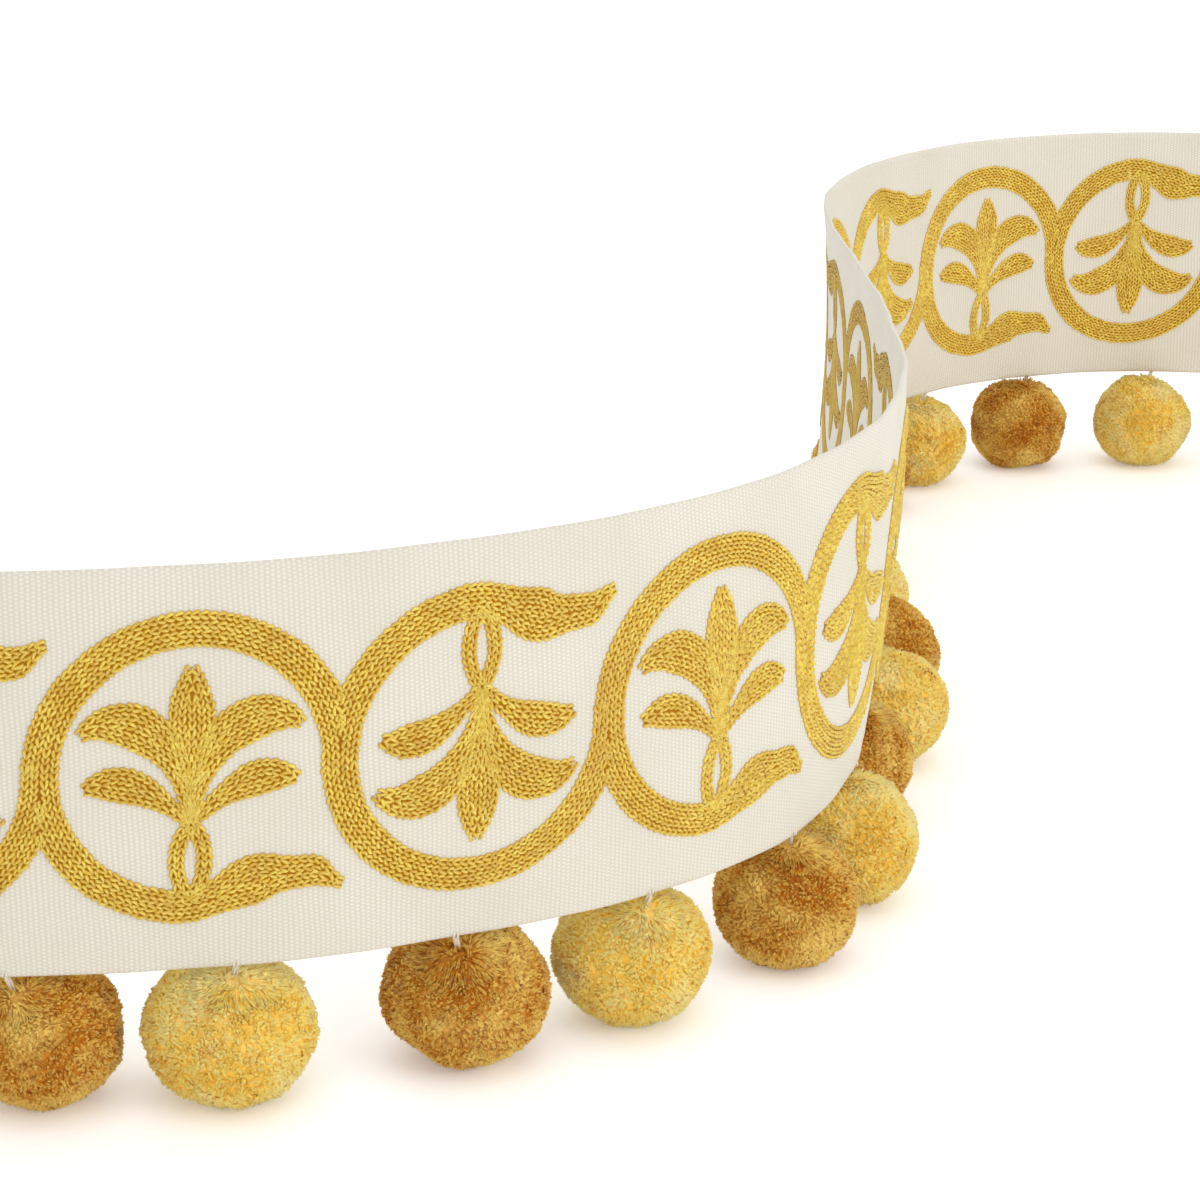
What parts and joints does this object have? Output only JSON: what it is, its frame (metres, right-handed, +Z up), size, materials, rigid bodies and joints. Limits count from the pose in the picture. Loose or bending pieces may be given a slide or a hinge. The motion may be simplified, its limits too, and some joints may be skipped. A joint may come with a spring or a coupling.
{
  "type": "embroidered pompom braid trim",
  "caption": "Length of ribbed ivory tape with gold scrolling leaf embroidery and a row of two-tone gold wool pompoms, standing on edge in a gentle S; edges curtains, cushions and upholstery.",
  "frame": {"origin": "under the middle of the bounding box, on the surface that the pompoms stand on", "axes": "+X along the S from its near end to its far end, +Y to the side that the far bend's arch points to, +Z up across the tape's width"},
  "size_m": [0.5972, 0.2354, 0.104],
  "materials": {
    "woven_tape": "fine ribbed ivory weave with gold chain-stitch embroidery",
    "pompom_light": "cut wool pile, matte, straw gold",
    "pompom_dark": "cut wool pile, matte, dark old gold",
    "thread": "plain ivory thread"
  },
  "bodies": {
    "root": {"tape": "woven_tape", "pompom_01": "pompom_light", "pompom_02": "pompom_dark", "pompom_03": "pompom_light", "pompom_04": "pompom_dark", "pompom_05": "pompom_light", "pompom_06": "pompom_dark", "pompom_07": "pompom_light", "pompom_08": "pompom_dark", "pompom_09": "pompom_light", "pompom_10": "pompom_dark", "pompom_11": "pompom_light", "pompom_12": "pompom_dark", "pompom_13": "pompom_light", "pompom_14": "pompom_dark", "pompom_15": "pompom_light", "pompom_16": "pompom_dark", "pompom_17": "pompom_light", "pompom_18": "pompom_dark", "tie_01": "thread", "tie_02": "thread", "tie_03": "thread", "tie_04": "thread", "tie_05": "thread", "tie_06": "thread", "tie_07": "thread", "tie_08": "thread", "tie_09": "thread", "tie_10": "thread", "tie_11": "thread", "tie_12": "thread", "tie_13": "thread", "tie_14": "thread", "tie_15": "thread", "tie_16": "thread", "tie_17": "thread", "tie_18": "thread"}
  },
  "joints": []
}
